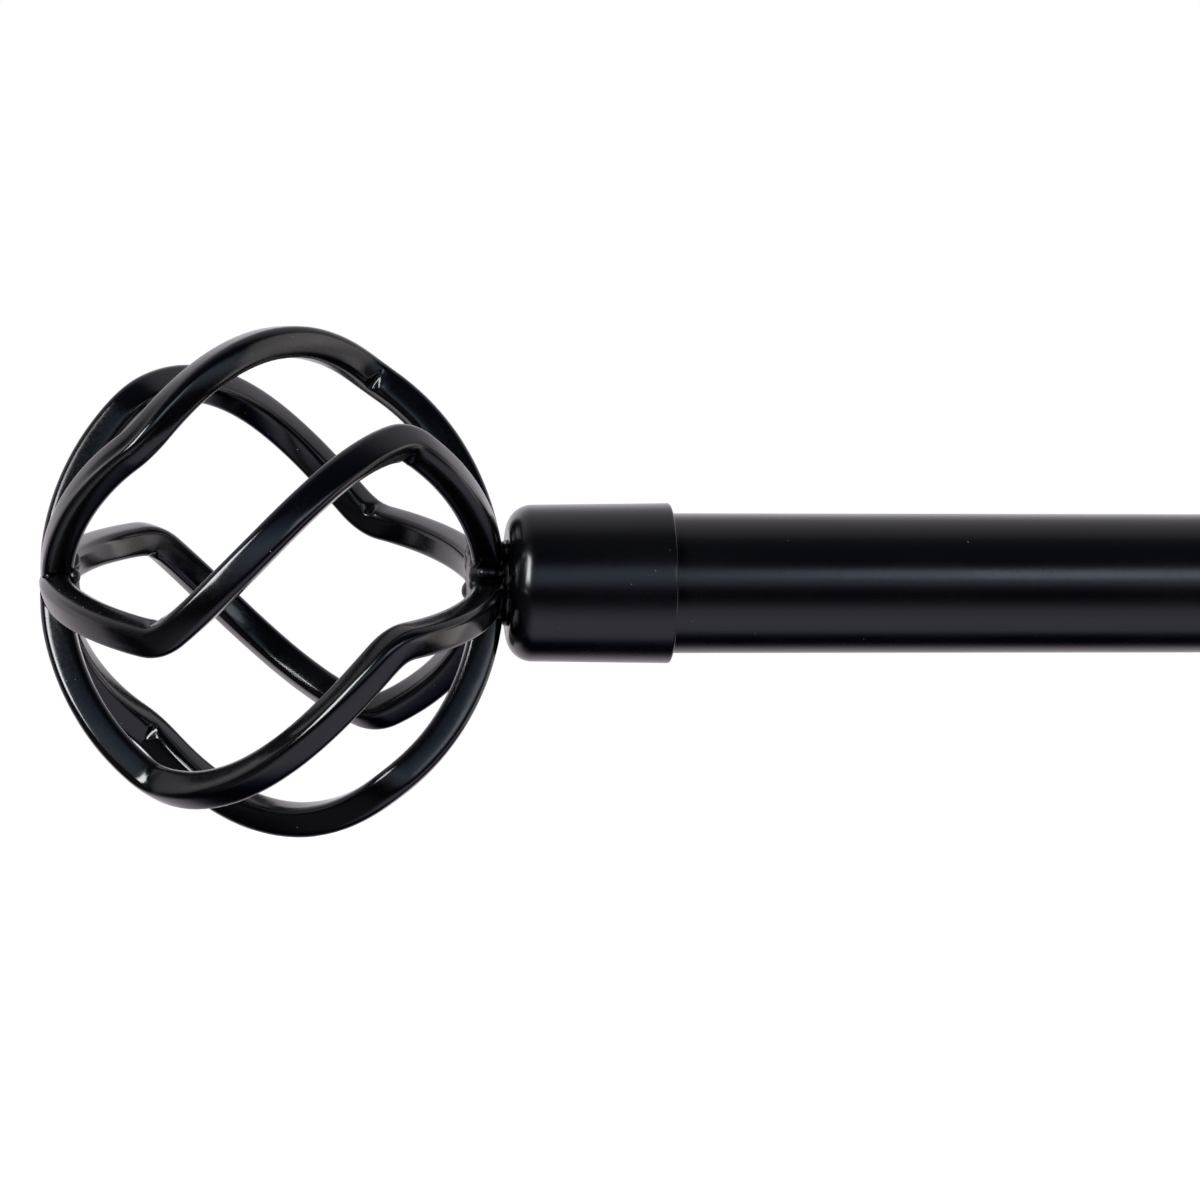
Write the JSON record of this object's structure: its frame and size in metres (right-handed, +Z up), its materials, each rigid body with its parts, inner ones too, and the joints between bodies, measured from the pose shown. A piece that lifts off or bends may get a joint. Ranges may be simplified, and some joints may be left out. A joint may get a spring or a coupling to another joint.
{
  "type": "curtain rod with brackets",
  "caption": "Extendable black steel curtain rod with twisted-cage finials, held by two wall brackets whose arms adjust.",
  "frame": {"origin": "on the wall plane, in the middle of the left bracket's plate", "axes": "+X along the rod from the left bracket to the right one, +Y into the wall, +Z up"},
  "size_m": [0.9888, 0.1361, 0.0918],
  "materials": {
    "satin_black_coat": "satin black powder coat",
    "gloss_black_coat": "glossy black coat",
    "zinc_steel": "zinc-plated steel",
    "black_steel": "black oxide steel",
    "nylon": "black nylon"
  },
  "bodies": {
    "wall_side": {"left_wall_plate": "satin_black_coat", "left_arm_socket": "satin_black_coat", "left_socket_screw": "zinc_steel", "left_arm_screw": "black_steel", "right_wall_plate": "satin_black_coat", "right_arm_socket": "satin_black_coat", "right_socket_screw": "zinc_steel", "right_arm_screw": "black_steel"},
    "left_arm_side": {"left_arm": "satin_black_coat", "left_cradle": "satin_black_coat", "left_lock_nut": "black_steel"},
    "left_lock_screw": {"left_lock_stud": "black_steel"},
    "left_lock_turner": {"left_lock_knob": "satin_black_coat"},
    "right_arm_side": {"right_arm": "satin_black_coat", "right_cradle": "satin_black_coat", "right_lock_nut": "black_steel"},
    "right_lock_screw": {"right_lock_stud": "black_steel"},
    "right_lock_turner": {"right_lock_knob": "satin_black_coat"},
    "rod": {"outer_tube": "satin_black_coat", "mouth_bush": "nylon"},
    "inner_rod": {"inner_tube": "satin_black_coat", "glide_bush": "nylon"},
    "left_finial": {"left_finial_cap": "satin_black_coat", "left_neck_collar": "gloss_black_coat", "left_finial_stud": "black_steel", "left_finial_washer": "zinc_steel", "left_finial_nut": "zinc_steel", "left_finial_screw": "black_steel", "left_cage_bar_1": "gloss_black_coat", "left_cage_bar_2": "gloss_black_coat", "left_cage_bar_3": "gloss_black_coat", "left_cage_bar_4": "gloss_black_coat", "left_cage_bar_5": "gloss_black_coat", "left_cage_bar_6": "gloss_black_coat"},
    "right_finial": {"right_finial_cap": "satin_black_coat", "right_neck_collar": "gloss_black_coat", "right_finial_stud": "black_steel", "right_finial_washer": "zinc_steel", "right_finial_nut": "zinc_steel", "right_finial_screw": "black_steel", "right_reducer_sleeve": "nylon", "right_cage_bar_1": "gloss_black_coat", "right_cage_bar_2": "gloss_black_coat", "right_cage_bar_3": "gloss_black_coat", "right_cage_bar_4": "gloss_black_coat", "right_cage_bar_5": "gloss_black_coat", "right_cage_bar_6": "gloss_black_coat"}
  },
  "joints": [
    {"name": "left_arm_slide", "type": "slide", "parent": "wall_side", "child": "left_arm_side", "axis": [0, -1, 0], "range_m": [-0.009, 0.018]},
    {"name": "right_arm_slide", "type": "slide", "parent": "wall_side", "child": "right_arm_side", "axis": [0, -1, 0], "range_m": [-0.009, 0.018]},
    {"name": "rod_lift", "type": "slide", "parent": "left_arm_side", "child": "rod", "axis": [0, 0, 1], "range_m": [0, 0.035]},
    {"name": "telescope", "type": "slide", "parent": "rod", "child": "inner_rod", "axis": [1, 0, 0], "range_m": [-0.1, 0.408]},
    {"name": "left_finial_pull", "type": "slide", "parent": "rod", "child": "left_finial", "axis": [-1, 0, 0], "range_m": [0, 0.035]},
    {"name": "right_finial_pull", "type": "slide", "parent": "inner_rod", "child": "right_finial", "axis": [1, 0, 0], "range_m": [0, 0.035]},
    {"name": "left_lock_travel", "type": "slide", "parent": "left_arm_side", "child": "left_lock_screw", "axis": [0, 0, -1], "range_m": [0, 0.00352]},
    {"name": "left_lock_turn", "type": "hinge", "parent": "left_lock_screw", "child": "left_lock_turner", "pos_m": [0, -0.09, -0.028], "axis": [0, 0, -1], "range_deg": [0, 1800]},
    {"name": "right_lock_travel", "type": "slide", "parent": "right_arm_side", "child": "right_lock_screw", "axis": [0, 0, -1], "range_m": [0, 0.00352]},
    {"name": "right_lock_turn", "type": "hinge", "parent": "right_lock_screw", "child": "right_lock_turner", "pos_m": [0.42, -0.09, -0.028], "axis": [0, 0, -1], "range_deg": [0, 1800]}
  ],
  "couplings": [
    {"joint": "right_arm_slide", "follows": "left_arm_slide", "ratio": 1},
    {"joint": "left_lock_travel", "follows": "left_lock_turn", "m_per_rad": 0.00011141},
    {"joint": "right_lock_travel", "follows": "right_lock_turn", "m_per_rad": 0.00011141}
  ]
}
